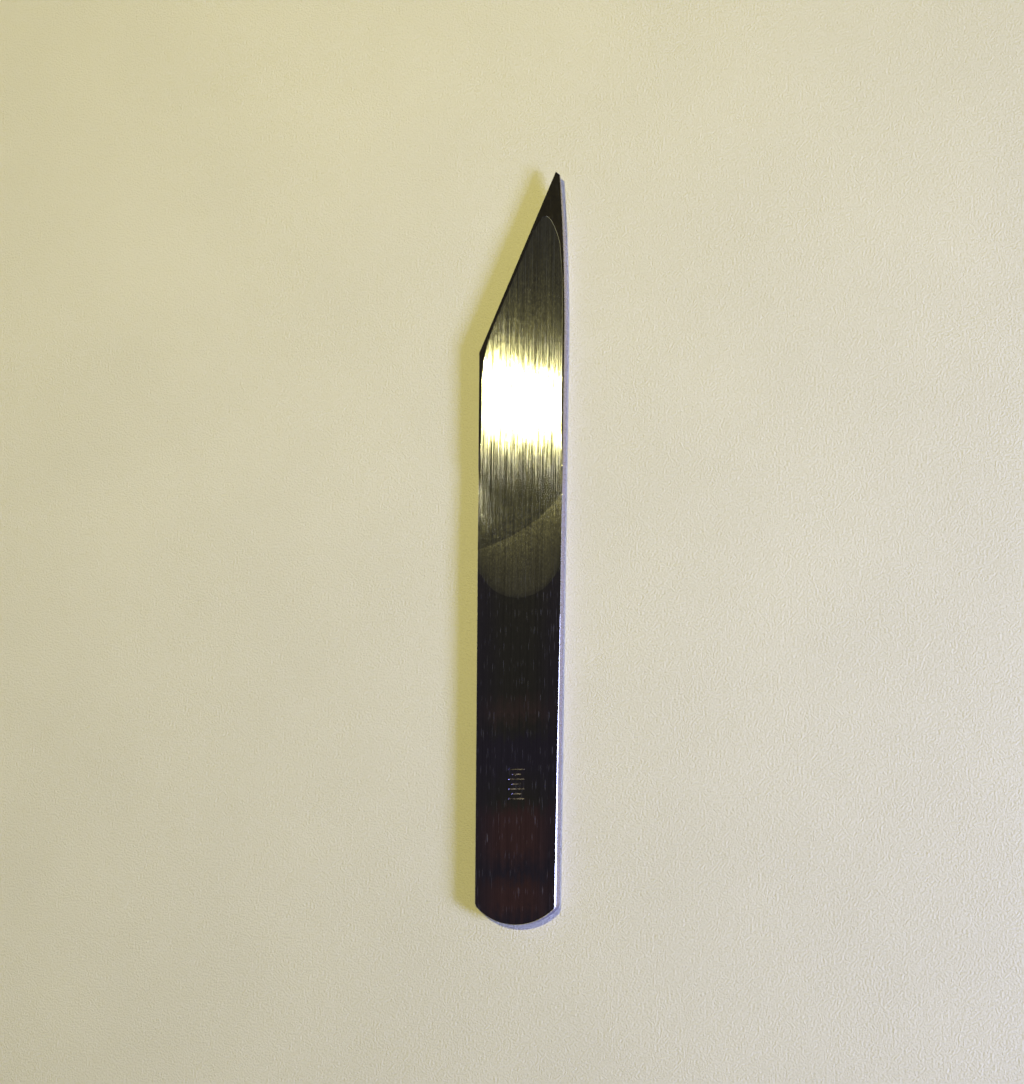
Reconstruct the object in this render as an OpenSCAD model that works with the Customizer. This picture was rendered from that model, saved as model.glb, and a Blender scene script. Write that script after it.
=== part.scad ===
// Kiridashi: a one-handed marking and carving knife made of one flat bar.
// A hard steel layer is forge-welded on the flat back of a soft iron body.
// The knife lies on its bevelled face with the hollow-ground back upwards.
// +Y runs to the point, +X to the spine, +Z up; the origin is under the middle.

/* [Outline] */
// Length from the point to the end of the tang
knife_length = 200; // [160:1:240]
// Width at the heel of the cutting edge
blade_w = 24; // [21:0.5:30]
// Width at the end of the tang
tang_w = 21.7; // [16:0.1:24]
// Thickness from face to face
blade_t = 3.6; // [2.8:0.1:6]
// Angle between the cutting edge and the long axis
skew = 23.4; // [20:0.1:32]
// How far the point stands in from the spine's widest line
tip_inset = 2.8; // [1.5:0.1:5]
// Angle of the small flat that blunts the point
tip_flat_angle = 43; // [30:1:60]
// Length of the spine that curves in towards the point
spine_curve = 46; // [30:1:60]
// Radius of that curve
spine_r = 600; // [400:10:1000]
// Radius of the rounded end of the tang
butt_r = 15; // [13:0.5:40]
// Width of the break at each corner of that end
corner_break = 1; // [0.4:0.1:2]

/* [Cutting bevel] */
// Angle between the bevel and the flat back
bevel_angle = 18; // [14:0.5:30]
// Thickness left along the cutting edge
edge_land = 0.05; // [0.02:0.01:0.2]

/* [Steel layer] */
// Thickness of the hard steel
steel_t = 1.1; // [0.7:0.05:1.6]
// How far ahead of the hollow's rear shoulder the steel begins, on the short side
steel_gap = 2.5; // [0.5:0.1:6]
// Length over which the steel thins out there
scarf_length = 8; // [5:0.5:14]
// Angle of the steel's rear end across the knife
scarf_skew = 31; // [10:1:35]
// Radius of the dished seat under that end
scarf_dish_r = 185; // [150:5:600]

/* [Hollow back] */
// Greatest depth of the hollow
hollow_depth = 0.6; // [0.3:0.05:1]
// Distance from the end of the tang to the hollow's rear end
hollow_start = 84; // [60:1:100]
// Length of the hollow along the knife
hollow_length = 104; // [90:1:110]
// How much the hollow's cross sweep is narrower than the knife, on each side
hollow_inset = 0.2; // [0.1:0.05:0.4]
// Distance from the rim over which the hollow deepens along the cutting edge
edge_fall = 11; // [6:0.5:14]
// Length over which the hollow's rear end rounds off
hollow_rounding = 10; // [4:0.5:10.5]
// Width of the flat rim along the cutting edge
edge_rim = 0.6; // [0.3:0.05:1.5]
// Width of the flat rim along the spine
spine_rim = 0.6; // [0.3:0.05:1.5]
// Width of the flat rim along the short side behind the heel
side_rim = 0.6; // [0.3:0.05:1.5]
// Radius of the hollow's nose behind the point
nose_r = 3.5; // [2:0.1:5]
// Radius of the hollow's corner inside the heel
heel_corner_r = 45; // [20:1:60]
// Distance from the end of the tang to where both rims run out
rim_run_out = 117; // [112:1:125]
// Length over which each rim thins to nothing
rim_fade = 13; // [6:1:16]

/* [Eased edges] */
// Width of the chamfer on the spine's upper edge, at the end of the tang
spine_chamfer = 0.55; // [0.2:0.05:1]
// Length of that chamfer, which thins to nothing towards the point
spine_chamfer_length = 94; // [60:1:110]
// Width of the chamfer along both lower edges of the tang
lower_chamfer = 0.6; // [0.2:0.05:1.2]

/* [Struck mark] */
// Number of plain strokes struck across the tang
mark_strokes = 7; // [3:1:9]
// Length of the longer strokes
mark_long = 4.4; // [2:0.1:8]
// Length of the shorter strokes
mark_short = 2.6; // [1:0.1:4]
// Width of a stroke
mark_stroke_w = 0.45; // [0.3:0.05:0.8]
// Distance from one stroke to the next
mark_pitch = 1.25; // [1:0.05:2]
// Depth of a stroke
mark_depth = 0.18; // [0.1:0.02:0.4]
// Distance from the end of the tang to the middle of the mark
mark_place = 35.6; // [25:0.1:60]

/* [Hidden] */

// Fineness of the round outlines, and the number of flats along each shallow sweep
$fn = 360;
sweep_steps = 40;
corner_steps = 16;
// How far a cutting block reaches past what it cuts
over = 1;
// A length that is larger than the knife in every direction
reach = 2 * knife_length;

point_y = knife_length / 2;
butt_y = -knife_length / 2;
half_w = blade_w / 2;
tip_x = half_w - tip_inset;
heel_y = point_y - (tip_x + half_w) / tan(skew);
spine_y = point_y - spine_curve;
rear_y = butt_y + butt_r;

// Slope of each long side, in width per length
spine_taper = (blade_w - tang_w) / 2 / (spine_y - butt_y);
side_taper = (blade_w - tang_w) / 2 / (heel_y - butt_y);

// The straight part of the spine, and the opposite side, at a place along the knife
function spine_x(y) = half_w - (spine_y - y) * spine_taper;
function side_x(y) = -half_w + (heel_y - y) * side_taper;

// The curved part of the spine, set in by a rim
function curved_spine_x(y, rim) =
    half_w - spine_r + sqrt(pow(spine_r - rim, 2) - pow(y - spine_y, 2));

// The place across the knife of the cutting edge, set in by a rim
function edge_x(y, rim) = tip_x + (y - point_y) * tan(skew) + rim / cos(skew);

function unit(v) = v / norm(v);

// Points of an arc of radius r that rounds the corner at b between a and c
function rounded(a, b, c, r) =
    let (
        to_a = unit(a - b),
        to_c = unit(c - b),
        half = acos(to_a * to_c) / 2,
        centre = b + unit(to_a + to_c) * r / sin(half),
        first = b + to_a * r / tan(half) - centre,
        turn = 180 - 2 * half,
        side = sign(cross(first, b + to_c * r / tan(half) - centre))
    )
    [for (i = [0:corner_steps])
        let (t = side * turn * i / corner_steps)
        centre + [first.x * cos(t) - first.y * sin(t), first.x * sin(t) + first.y * cos(t)]];

// Everything on the knife's side of the cutting edge, seen from above
module inside_edge() {
    translate([tip_x, point_y])
        rotate(-skew)
            translate([0, -reach])
                square([reach, 2 * reach]);
}

// Everything behind the small flat at the point
module behind_tip_flat() {
    translate([tip_x, point_y])
        rotate(-tip_flat_angle)
            translate([-reach, -2 * reach])
                square([2 * reach, 2 * reach]);
}

// Everything on the knife's side of the curved spine
module inside_spine() {
    translate([half_w - spine_r, spine_y])
        circle(r = spine_r);
    translate([-reach, spine_y - reach])
        square([2 * reach, reach]);
}

// Everything ahead of the rounded end of the tang
module ahead_of_butt() {
    translate([0, rear_y])
        circle(r = butt_r);
    translate([-reach, rear_y])
        square([2 * reach, reach]);
}

// The bar's two long sides, with no ends
module sides() {
    polygon([
        [side_x(butt_y - over), butt_y - over],
        [spine_x(butt_y - over), butt_y - over],
        [spine_x(spine_y), spine_y],
        [spine_x(spine_y), point_y + over],
        [side_x(heel_y), point_y + over],
        [side_x(heel_y), heel_y]
    ]);
}

// The small break at one corner of the tang's end; hand is 1 at the spine, -1 opposite
module corner_cut(hand) {
    corner_x = tang_w / 2;
    corner_y = rear_y - sqrt(pow(butt_r, 2) - pow(corner_x, 2));
    lean = atan2(rear_y - corner_y, corner_x) / 2;
    translate([hand * corner_x, corner_y])
        rotate(-hand * (90 + lean))
            translate([-reach / 2, -corner_break / 2 * tan(lean)])
                square([reach, reach]);
}

module plan() {
    difference() {
        intersection() {
            sides();
            inside_edge();
            behind_tip_flat();
            inside_spine();
            ahead_of_butt();
        }
        corner_cut(1);
        corner_cut(-1);
    }
}

// The block under the cutting bevel
module bevel_cut() {
    translate([tip_x, point_y, blade_t - edge_land])
        rotate([0, 0, -skew])
            rotate([0, bevel_angle, 0])
                translate([-reach, -reach, -reach])
                    cube([2 * reach, 2 * reach, reach]);
}

// A long block with one edge chamfered off at 45 degrees, set along +Y
module chamfer_block() {
    rotate([0, 45, 0])
        translate([-reach / 2, -reach / 2, 0])
            cube([reach, reach, reach]);
}

// The chamfer on the spine's upper edge, which widens towards the end of the tang
module spine_chamfer_cut() {
    start_y = butt_y + spine_chamfer_length;
    translate([spine_x(start_y), start_y, blade_t])
        rotate([0, 0, -atan(spine_taper) - atan(spine_chamfer / spine_chamfer_length)])
            chamfer_block();
}

// The chamfers along the two lower edges
module lower_chamfer_cuts() {
    translate([spine_x(0) - lower_chamfer, 0, 0])
        rotate([0, 0, -atan(spine_taper)])
            mirror([0, 0, 1])
                chamfer_block();
    translate([side_x(0) + lower_chamfer, 0, 0])
        rotate([0, 0, atan(side_taper)])
            mirror([1, 0, 0])
                mirror([0, 0, 1])
                    chamfer_block();
}

// A shallow arc between two ends at height 0, which dips by depth at its middle
function shallow_arc(half_length, depth) =
    let (r = (pow(half_length, 2) + pow(depth, 2)) / (2 * depth))
    [for (i = [0:sweep_steps])
        let (along = half_length * (2 * i / sweep_steps - 1))
        [along, r - depth - sqrt(pow(r, 2) - pow(along, 2))]];

// The long grinding sweep that makes the hollow deepest at its middle
module long_sweep() {
    half_length = hollow_length / 2;
    translate([0, butt_y + hollow_start + half_length, blade_t])
        rotate([90, 0, 90])
            linear_extrude(height = 2 * blade_w, center = true)
                polygon(concat(
                    shallow_arc(half_length, hollow_depth),
                    [[half_length, over], [-half_length, over]]
                ));
}

// The sweep across the knife, which lets the hollow fade out at both long sides
module cross_sweep() {
    half_across = half_w - hollow_inset;
    translate([0, 0, blade_t])
        rotate([90, 0, 0])
            linear_extrude(height = knife_length + 2 * over, center = true)
                polygon(concat(
                    shallow_arc(half_across, hollow_depth),
                    [[half_across, over], [-half_across, over]]
                ));
}

// The fall from the rim at the cutting edge, which keeps the metal whole behind it
module edge_sweep() {
    fall = [for (p = shallow_arc(edge_fall, hollow_depth)) if (p.x <= 0) p + [edge_fall, 0]];
    translate([edge_x(point_y, edge_rim), point_y, blade_t])
        rotate([0, 0, -skew])
            rotate([90, 0, 0])
                linear_extrude(height = 2 * reach, center = true)
                    polygon(concat(fall, [[reach, -hollow_depth], [reach, over], [0, over]]));
}

// The hollow's round rear end, an arc drawn through both long sides
module hollow_rear() {
    end_y = butt_y + hollow_start;
    side_y = end_y + hollow_rounding;
    chord = (spine_x(side_y) - side_x(side_y)) / 2;
    r = (pow(chord, 2) + pow(hollow_rounding, 2)) / (2 * hollow_rounding);
    intersection() {
        translate([side_x(side_y) + chord, end_y + r])
            circle(r = r);
        translate([-reach, side_y - reach])
            square([2 * reach, reach]);
    }
}

// The hollow ahead of its rear end, inside the flat rims
module hollow_front() {
    side_y = butt_y + hollow_start + hollow_rounding;
    run_out_y = butt_y + rim_run_out;
    fade_y = run_out_y + rim_fade;
    wide = half_w + over;
    nose_y = point_y - spine_rim;
    nose = [curved_spine_x(nose_y, spine_rim), nose_y];
    nose_back = [curved_spine_x(heel_y, spine_rim), heel_y];
    edge_far = [edge_x(spine_y, edge_rim), spine_y];
    heel_x = side_x(heel_y) + side_rim;
    heel = [heel_x, point_y + (heel_x - edge_rim / cos(skew) - tip_x) / tan(skew)];
    side_far = [side_x(fade_y) + side_rim, fade_y];
    polygon(concat(
        rounded(edge_far, nose, nose_back, nose_r),
        [
            nose_back,
            [spine_x(fade_y) - spine_rim, fade_y],
            [spine_x(run_out_y), run_out_y],
            [wide, run_out_y],
            [wide, side_y],
            [-wide, side_y],
            [-wide, run_out_y],
            [side_x(run_out_y), run_out_y],
            side_far
        ],
        rounded(side_far, heel, edge_far, heel_corner_r)
    ));
}

module hollow_cut() {
    intersection() {
        long_sweep();
        cross_sweep();
        edge_sweep();
        linear_extrude(height = blade_t + over) {
            hollow_rear();
            hollow_front();
        }
    }
}

// The column of plain strokes, long and short in turn
module mark_cut() {
    middle = (mark_strokes - 1) / 2;
    for (i = [0:mark_strokes - 1]) {
        stroke = i % 2 == 0 ? mark_long : mark_short;
        translate([-stroke / 2,
                   butt_y + mark_place + (i - middle) * mark_pitch - mark_stroke_w / 2,
                   blade_t - mark_depth])
            cube([stroke, mark_stroke_w, over]);
    }
}

// The space of the steel layer: above the weld and ahead of the dished scarf
module steel_space() {
    lean = atan(steel_t / scarf_length);
    start_y = butt_y + hollow_start + hollow_rounding + steel_gap;
    half_seat = half_w / cos(scarf_skew);
    dish_depth = scarf_dish_r - sqrt(pow(scarf_dish_r, 2) - pow(half_seat, 2));
    seat = [for (p = shallow_arc(half_seat, dish_depth)) p + [half_seat, 0]];
    intersection() {
        translate([-reach, -reach, blade_t - steel_t])
            cube([2 * reach, 2 * reach, steel_t + over]);
        translate([side_x(start_y), start_y, blade_t])
            rotate([0, 0, scarf_skew])
                rotate([-lean, 0, 0])
                    rotate([90, 0, 0])
                        linear_extrude(height = 2 * reach, center = true)
                            polygon(concat(
                                [[-reach, 0]],
                                seat,
                                [[reach, 0], [reach, reach], [-reach, reach]]
                            ));
    }
}

// The whole knife as forged and ground, before it is told apart into its two metals
module ground_bar() {
    difference() {
        linear_extrude(height = blade_t)
            plan();
        bevel_cut();
        hollow_cut();
        spine_chamfer_cut();
        lower_chamfer_cuts();
        mark_cut();
    }
}

module iron_body() {
    color("slategray")
        difference() {
            ground_bar();
            steel_space();
        }
}

module steel_edge() {
    color("lightsteelblue")
        intersection() {
            ground_bar();
            steel_space();
        }
}

iron_body();
steel_edge();
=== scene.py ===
"""A kiridashi marking knife, dressed around its CAD frame.

The knife lies on its bevelled face on a sheet of paper, with the hollow-ground
back upwards. Sizes of the knife are in millimetres; meshes are made in metres.
"""

import logging
import math
from dataclasses import dataclass, field
from enum import Enum, IntEnum
from functools import cached_property
from typing import Any, Callable, Iterable, Sequence

import bmesh
import bpy
import numpy as np
from mathutils import Matrix, Vector
from mathutils.geometry import delaunay_2d_cdt

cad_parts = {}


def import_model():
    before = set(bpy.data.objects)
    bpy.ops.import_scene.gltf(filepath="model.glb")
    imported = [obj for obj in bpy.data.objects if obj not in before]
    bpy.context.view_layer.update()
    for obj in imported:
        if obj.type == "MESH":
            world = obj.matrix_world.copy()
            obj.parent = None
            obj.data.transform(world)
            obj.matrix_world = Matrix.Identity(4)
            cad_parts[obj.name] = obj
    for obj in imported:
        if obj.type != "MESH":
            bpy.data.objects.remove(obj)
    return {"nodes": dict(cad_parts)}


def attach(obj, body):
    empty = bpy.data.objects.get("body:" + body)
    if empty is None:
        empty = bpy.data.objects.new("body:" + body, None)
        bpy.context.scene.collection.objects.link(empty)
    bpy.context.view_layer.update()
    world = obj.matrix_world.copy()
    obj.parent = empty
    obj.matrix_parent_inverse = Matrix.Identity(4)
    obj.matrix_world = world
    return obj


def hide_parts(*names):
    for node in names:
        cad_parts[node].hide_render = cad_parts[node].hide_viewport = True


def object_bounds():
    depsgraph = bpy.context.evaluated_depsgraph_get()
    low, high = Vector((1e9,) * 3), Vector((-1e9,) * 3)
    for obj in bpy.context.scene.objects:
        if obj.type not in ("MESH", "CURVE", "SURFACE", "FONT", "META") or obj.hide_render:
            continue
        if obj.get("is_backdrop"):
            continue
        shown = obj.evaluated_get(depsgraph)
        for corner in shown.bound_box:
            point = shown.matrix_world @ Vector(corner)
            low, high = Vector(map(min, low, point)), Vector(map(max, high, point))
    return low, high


# A millimetre in metres, and a length in millimetres that is too small to matter
MM = 0.001
TINY = 1e-6

# How often a search halves its span, and the distance between two outline stations
SEARCH_STEPS = 60
STATION_STEP = 0.6

# The distance between rows of filling places, as a share of the step within a row
ROW_HEIGHT = 0.87

# Settings of the triangulation: triangles inside the ring only, and what counts as one place
INSIDE_ONLY = 1
SAME_PLACE = 1e-7

# The middle of a noise that runs from 0 to 1
MIDDLE = 0.5

# The colour of a scratch, whose bluish cast is a painted reflection of cool light, and a warm
# cast's loss of blue for its gain of red
SCRATCH_AND_COOL_REFLECTION = (0.50, 0.53, 0.82, 1.0)
COOLING = 1.6

# The UV layer whose direction steers the brushed shine
UV_LAYER = "across"

# The numbers of a Mix node's colour sockets
MIX_FIRST, MIX_SECOND, MIX_RESULT = 6, 7, 2

Height = Callable[[np.ndarray, np.ndarray], np.ndarray]
Covers = Callable[[float, float], tuple[bool, bool]]
Triple = tuple[float, float, float]
Colour = tuple[float, float, float, float]

log = logging.getLogger("kiridashi")


# Shape of the knife


def spaced(start: float, end: float, step: float, keep: Sequence[float] = ()) -> np.ndarray:
    """Values from start to end about a step apart, which pass through the kept ones.

    Args:
        start: The first value.
        end: The last value.
        step: The wanted distance between two values.
        keep: Values between the ends that have to be among them.

    Returns:
        The values, in order.
    """
    inner = (k for k in keep if min(start, end) < k < max(start, end))
    knots = [start, *sorted(inner, reverse=bool(end < start)), end]
    parts = [np.array([start])]
    for a, b in zip(knots, knots[1:]):
        count = max(1, round(abs(b - a) / step))
        parts.append(np.linspace(a, b, count + 1)[1:])
    return np.concatenate(parts)


def solve(gap: Callable[[float], float], low: float, high: float) -> float:
    """The place between low and high where a rising or falling gap is zero.

    Args:
        gap: The function whose zero is wanted.
        low: One end of the search.
        high: The other end.

    Returns:
        The place of the zero.
    """
    rising = gap(high) > gap(low)
    for _ in range(SEARCH_STEPS):
        middle = (low + high) / 2
        if (gap(middle) > 0) == rising:
            high = middle
        else:
            low = middle
    return (low + high) / 2


def smooth(t: np.ndarray) -> np.ndarray:
    """A soft step from 0 to 1."""
    t = np.clip(t, 0.0, 1.0)
    return t * t * (3 - 2 * t)


@dataclass(frozen=True)
class Blank:
    """The ground bar: its outline, hollow, bevel and weld, in millimetres.

    +Y runs to the point, +X to the spine and +Z up, as in the frame. Starts, tops, middles
    and the run-out are measured along the knife from the end of the tang.

    The hollow's floor is a parabola along the knife, which would come up to the back at
    hollow_sweep from its middle. It turns by twist for each millimetre, within twist_reach
    of twist_middle. Its nose is a parabola in plan: its half width is nose_blunt times the
    root of the distance from its top, and a nose_slim share of that on the spine's side.
    """

    length: float
    width: float
    thickness: float

    # Outline
    tang_width: float = 21.7
    skew: float = math.radians(23.4)
    tip_inset: float = 2.8
    tip_flat_angle: float = math.radians(43)
    spine_curve: float = 46.0
    spine_radius: float = 600.0
    butt_radius: float = 15.0
    corner_place: float = 5.0
    corner_break: float = 1.0

    # Bevel and weld
    bevel_angle: float = math.radians(18)
    edge_land: float = 0.05
    steel_thickness: float = 1.1
    steel_gap: float = 3.05
    scarf_length: float = 8.0
    scarf_skew: float = math.radians(31)
    dish_radius: float = 245.0
    seam_search: tuple[float, float] = (-40.0, 30.0)

    # Hollow, with its shoulders, the rise at its rear end and its twist
    hollow_depth: float = 0.2
    hollow_start: float = 84.0
    hollow_length: float = 104.0
    hollow_sweep: float = 70.0
    hollow_rounding: float = 10.0
    hollow_rise: float = 26.0
    hollow_margin: float = 1.0
    shoulder: float = 0.3
    shoulder_fade: float = 3.0
    shoulder_delay: float = 2.0
    spine_shoulder_share: float = 0.5
    honed_share: float = 0.95
    twist: float = 0.00036
    twist_middle: float = 147.0
    twist_reach: float = 20.0

    # Rims around the hollow, its nose and its corner at the heel
    rim: float = 0.5
    rim_fade: float = 13.0
    run_out: float = 117.0
    nose_top: float = 187.7
    nose_rim: float = 0.6
    nose_rim_length: float = 20.0
    nose_aside: float = 6.3
    nose_blunt: float = 1.72
    nose_reach: float = 3.8
    nose_slim: float = 0.88
    heel_radius: float = 45.0

    @property
    def point_y(self) -> float:
        """Where the point is along the knife."""
        return self.length / 2

    @property
    def half(self) -> float:
        """Half of the width at the heel."""
        return self.width / 2

    @property
    def tip_x(self) -> float:
        """Where the point is across the knife."""
        return self.half - self.tip_inset

    @property
    def heel_y(self) -> float:
        """Where the cutting edge ends at the short side."""
        return self.point_y - (self.tip_x + self.half) / math.tan(self.skew)

    @property
    def spine_y(self) -> float:
        """Where the spine starts to curve in."""
        return self.point_y - self.spine_curve

    @property
    def arc_y(self) -> float:
        """Where the middle of the tang's end arc is."""
        return -self.length / 2 + self.butt_radius

    def from_butt(self, distance: float) -> float:
        """The place along the knife at a distance from the end of the tang."""
        return -self.length / 2 + distance

    def taper(self, start: float) -> float:
        """How much one side draws in, for each millimetre from its start to the tang's end."""
        return (self.width - self.tang_width) / 2 / (start + self.length / 2)

    def side_x(self, y: Any) -> Any:
        """The short side, across the knife, at a place along it."""
        return -self.half + (self.heel_y - y) * self.taper(self.heel_y)

    def spine_x(self, y: Any, inset: Any = 0.0) -> Any:
        """The spine, across the knife, at a place along it, set in by a rim.

        Args:
            y: The place along the knife.
            inset: The distance inwards from the spine.

        Returns:
            The place across the knife.
        """
        straight = self.half - (self.spine_y - y) * self.taper(self.spine_y) - inset
        reach = np.maximum((self.spine_radius - inset) ** 2 - (y - self.spine_y) ** 2, 0)
        curved = self.half - self.spine_radius + np.sqrt(reach)
        return np.where(np.asarray(y) < self.spine_y, straight, curved)

    def edge_x(self, y: Any, inset: float = 0.0) -> Any:
        """The cutting edge, across the knife, at a place along it, set in by a rim."""
        return self.tip_x + (y - self.point_y) * math.tan(self.skew) + inset / math.cos(self.skew)

    def from_edge(self, x: Any, y: Any) -> Any:
        """The distance of a place from the line of the cutting edge."""
        return (x - self.edge_x(y)) * math.cos(self.skew)

    def bevel_ends(self, drop: float) -> tuple[float, float]:
        """Where the bevel, at a depth under the back, meets the short side and the spine.

        Args:
            drop: The depth under the back.

        Returns:
            The two places along the knife.
        """
        inset = (drop - self.edge_land) / math.tan(self.bevel_angle)
        left = solve(lambda y: self.side_x(y) - self.edge_x(y, inset), 0.0, self.heel_y)
        right = solve(lambda y: self.spine_x(y) - self.edge_x(y, inset), 0.0, self.point_y)
        return left, right

    def seam_end(self, side: Callable[[float], Any]) -> float:
        """Where the weld comes up to the back along one of the knife's sides."""
        return solve(lambda y: float(self.seat(side(y), y) - self.thickness), *self.seam_search)

    @cached_property
    def heel_corner(self) -> tuple[float, float]:
        """The middle of the round corner that the hollow has inside the heel.

        Returns:
            The place across the knife and the place along it.
        """
        deep = self.rim + self.heel_radius
        start = -self.length / 4
        y = solve(lambda y: self.side_x(y) + deep - self.edge_x(y, deep), start, self.heel_y)
        return self.side_x(y) + deep, y

    @cached_property
    def hollow_ends(self) -> tuple[float, float]:
        """Where the hollow starts and ends along the knife."""
        return self.from_butt(self.hollow_start), self.from_butt(self.nose_top)

    @property
    def shoulder_y(self) -> float:
        """Where the hollow's shoulders are steep enough to show, along the knife."""
        return self.from_butt(self.run_out) + self.shoulder_delay

    def rear_circle(self) -> Triple:
        """The circle that bounds the hollow's rear end.

        Returns:
            Its middle across and along the knife, and its radius.
        """
        side_y = self.hollow_ends[0] + self.hollow_rounding
        left, right = self.side_x(side_y), float(self.spine_x(side_y))
        chord = (right - left) / 2
        radius = (chord**2 + self.hollow_rounding**2) / (2 * self.hollow_rounding)
        return (left + right) / 2, self.hollow_ends[0] + radius, radius

    def rim_at(self, y: np.ndarray) -> np.ndarray:
        """The rim's width along the knife, which thins to nothing where it runs out."""
        return self.rim * smooth((y - self.from_butt(self.run_out)) / self.rim_fade)

    def hollow_sides(self, y: np.ndarray) -> tuple[np.ndarray, np.ndarray]:
        """The hollow's left and right limits at a place along the knife.

        Args:
            y: The places along the knife.

        Returns:
            The places across the knife, equal where there is no hollow.
        """
        y = np.asarray(y, float)
        rim = self.rim_at(y)
        broader = self.nose_rim * smooth(1 + (y - self.hollow_ends[1]) / self.nose_rim_length)
        left, right = self.side_x(y) + rim, self.spine_x(y, rim + broader)

        corner_x, corner_y = self.heel_corner
        to_edge = corner_y + self.heel_radius * math.sin(self.skew)
        round_left = corner_x - np.sqrt(np.maximum(self.heel_radius**2 - (y - corner_y) ** 2, 0))
        left = np.where((y > corner_y) & (y <= to_edge), round_left, left)
        left = np.where(y > to_edge, self.edge_x(y, self.rim), left)

        nose_half = self.nose_blunt * np.sqrt(np.maximum(self.hollow_ends[1] - y, 0))
        near = y > self.hollow_ends[1] - self.nose_reach
        left = np.where(near, np.maximum(self.nose_aside - nose_half, left), left)
        right = np.minimum(self.nose_aside + nose_half * self.nose_slim, right)

        rear_x, rear_y, rear_r = self.rear_circle()
        rear_half = np.sqrt(np.maximum(rear_r**2 - (y - rear_y) ** 2, 0))
        behind = y < self.hollow_ends[0] + self.hollow_rounding
        left = np.where(behind, rear_x - rear_half, left)
        right = np.where(behind, rear_x + rear_half, right)
        return left, np.maximum(left, right)

    def hollow(self, x: np.ndarray, y: np.ndarray) -> np.ndarray:
        """The depth of the hollow at places on the back.

        Args:
            x: The places across the knife.
            y: The places along it.

        Returns:
            The depths, which are zero outside the hollow.
        """
        x, y = np.asarray(x, float), np.asarray(y, float)
        middle = self.hollow_ends[0] + self.hollow_length / 2
        sweep = self.hollow_depth * (1 - ((y - middle) / self.hollow_sweep) ** 2)
        turn = np.tanh((y - self.from_butt(self.twist_middle)) / self.twist_reach)
        floor = sweep + self.twist * self.twist_reach * turn * x

        rear_x, rear_y, radius = self.rear_circle()
        aside = np.minimum(np.abs(x - rear_x), rear_x - self.side_x(y) - self.hollow_margin)
        arc = rear_y - np.sqrt(np.maximum(radius**2 - aside**2, 0))
        rise = smooth((y - arc) / self.hollow_rise)

        left, right = self.hollow_sides(y)
        from_side = np.minimum(x - left, (right - x) / self.spine_shoulder_share)
        inside = np.clip(from_side / self.shoulder, 0, 1)
        steep = smooth((y - self.from_butt(self.run_out)) / self.shoulder_fade)
        return np.maximum(floor, 0) * rise * (1 - (1 - inside) * steep)

    def honed(self, x: float, y: float) -> bool:
        """Tells whether a place on the back lies on the honed rim or its inner shoulder.

        Args:
            x: The place across the knife.
            y: The place along it.

        Returns:
            True on the rim and on the shoulder.
        """
        left, right = self.hollow_sides(np.array(y))
        inset = self.shoulder * self.honed_share if y > self.shoulder_y else 0.0
        return not left + inset < x < right - inset * self.spine_shoulder_share

    def back(self, x: np.ndarray, y: np.ndarray) -> np.ndarray:
        """The height of the hollow-ground back."""
        return self.thickness - self.hollow(x, y)

    def bevel(self, x: np.ndarray, y: np.ndarray) -> np.ndarray:
        """The height of the cutting bevel's plane, above the flat where it is cut."""
        top = self.thickness - self.edge_land
        return top - math.tan(self.bevel_angle) * self.from_edge(x, y)

    def under(self, x: np.ndarray, y: np.ndarray) -> np.ndarray:
        """The height of the bevelled face that the knife lies on."""
        return np.maximum(self.bevel(x, y), 0.0)

    @property
    def weld(self) -> float:
        """The height of the weld between the iron and the steel."""
        return self.thickness - self.steel_thickness

    def seat(self, x: np.ndarray, y: np.ndarray) -> np.ndarray:
        """The height of the weld, which rises along the dished scarf to the back.

        Args:
            x: The places across the knife.
            y: The places along it.

        Returns:
            The heights, which go on above the back behind the seam.
        """
        x, y = np.asarray(x, float), np.asarray(y, float)
        start_y = self.from_butt(self.hollow_start + self.hollow_rounding + self.steel_gap)
        dx, dy = x - self.side_x(start_y), y - start_y
        cos, sin = math.cos(self.scarf_skew), math.sin(self.scarf_skew)
        across, ahead = dx * cos + dy * sin, dy * cos - dx * sin
        half_seat = self.half / cos
        deep = self.dish_radius - math.sqrt(self.dish_radius**2 - half_seat**2)
        reach = np.maximum(self.dish_radius**2 - (across - half_seat) ** 2, 0)
        dish = np.maximum(np.sqrt(reach) - (self.dish_radius - deep), 0)
        scarf = self.thickness - ahead * self.steel_thickness / self.scarf_length - dish
        return np.maximum(scarf, self.weld)

    def steel_start(self, x: float) -> float:
        """Where the steel begins along the knife, at a place across it."""
        return solve(lambda y: float(self.seat(x, y) - self.back(x, y)), *self.seam_search)


# Closed meshes


class Side(IntEnum):
    """Which part of a piece's skin a face belongs to."""

    BACK = 0
    EASED = 1
    WALL = 2
    UNDER = 3


# The degrees that two faces have to turn before the edge between them is sharp
CREASES = {Side.BACK: 3.2, Side.EASED: 60.0, Side.WALL: 10.0, Side.UNDER: 3.2}


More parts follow.
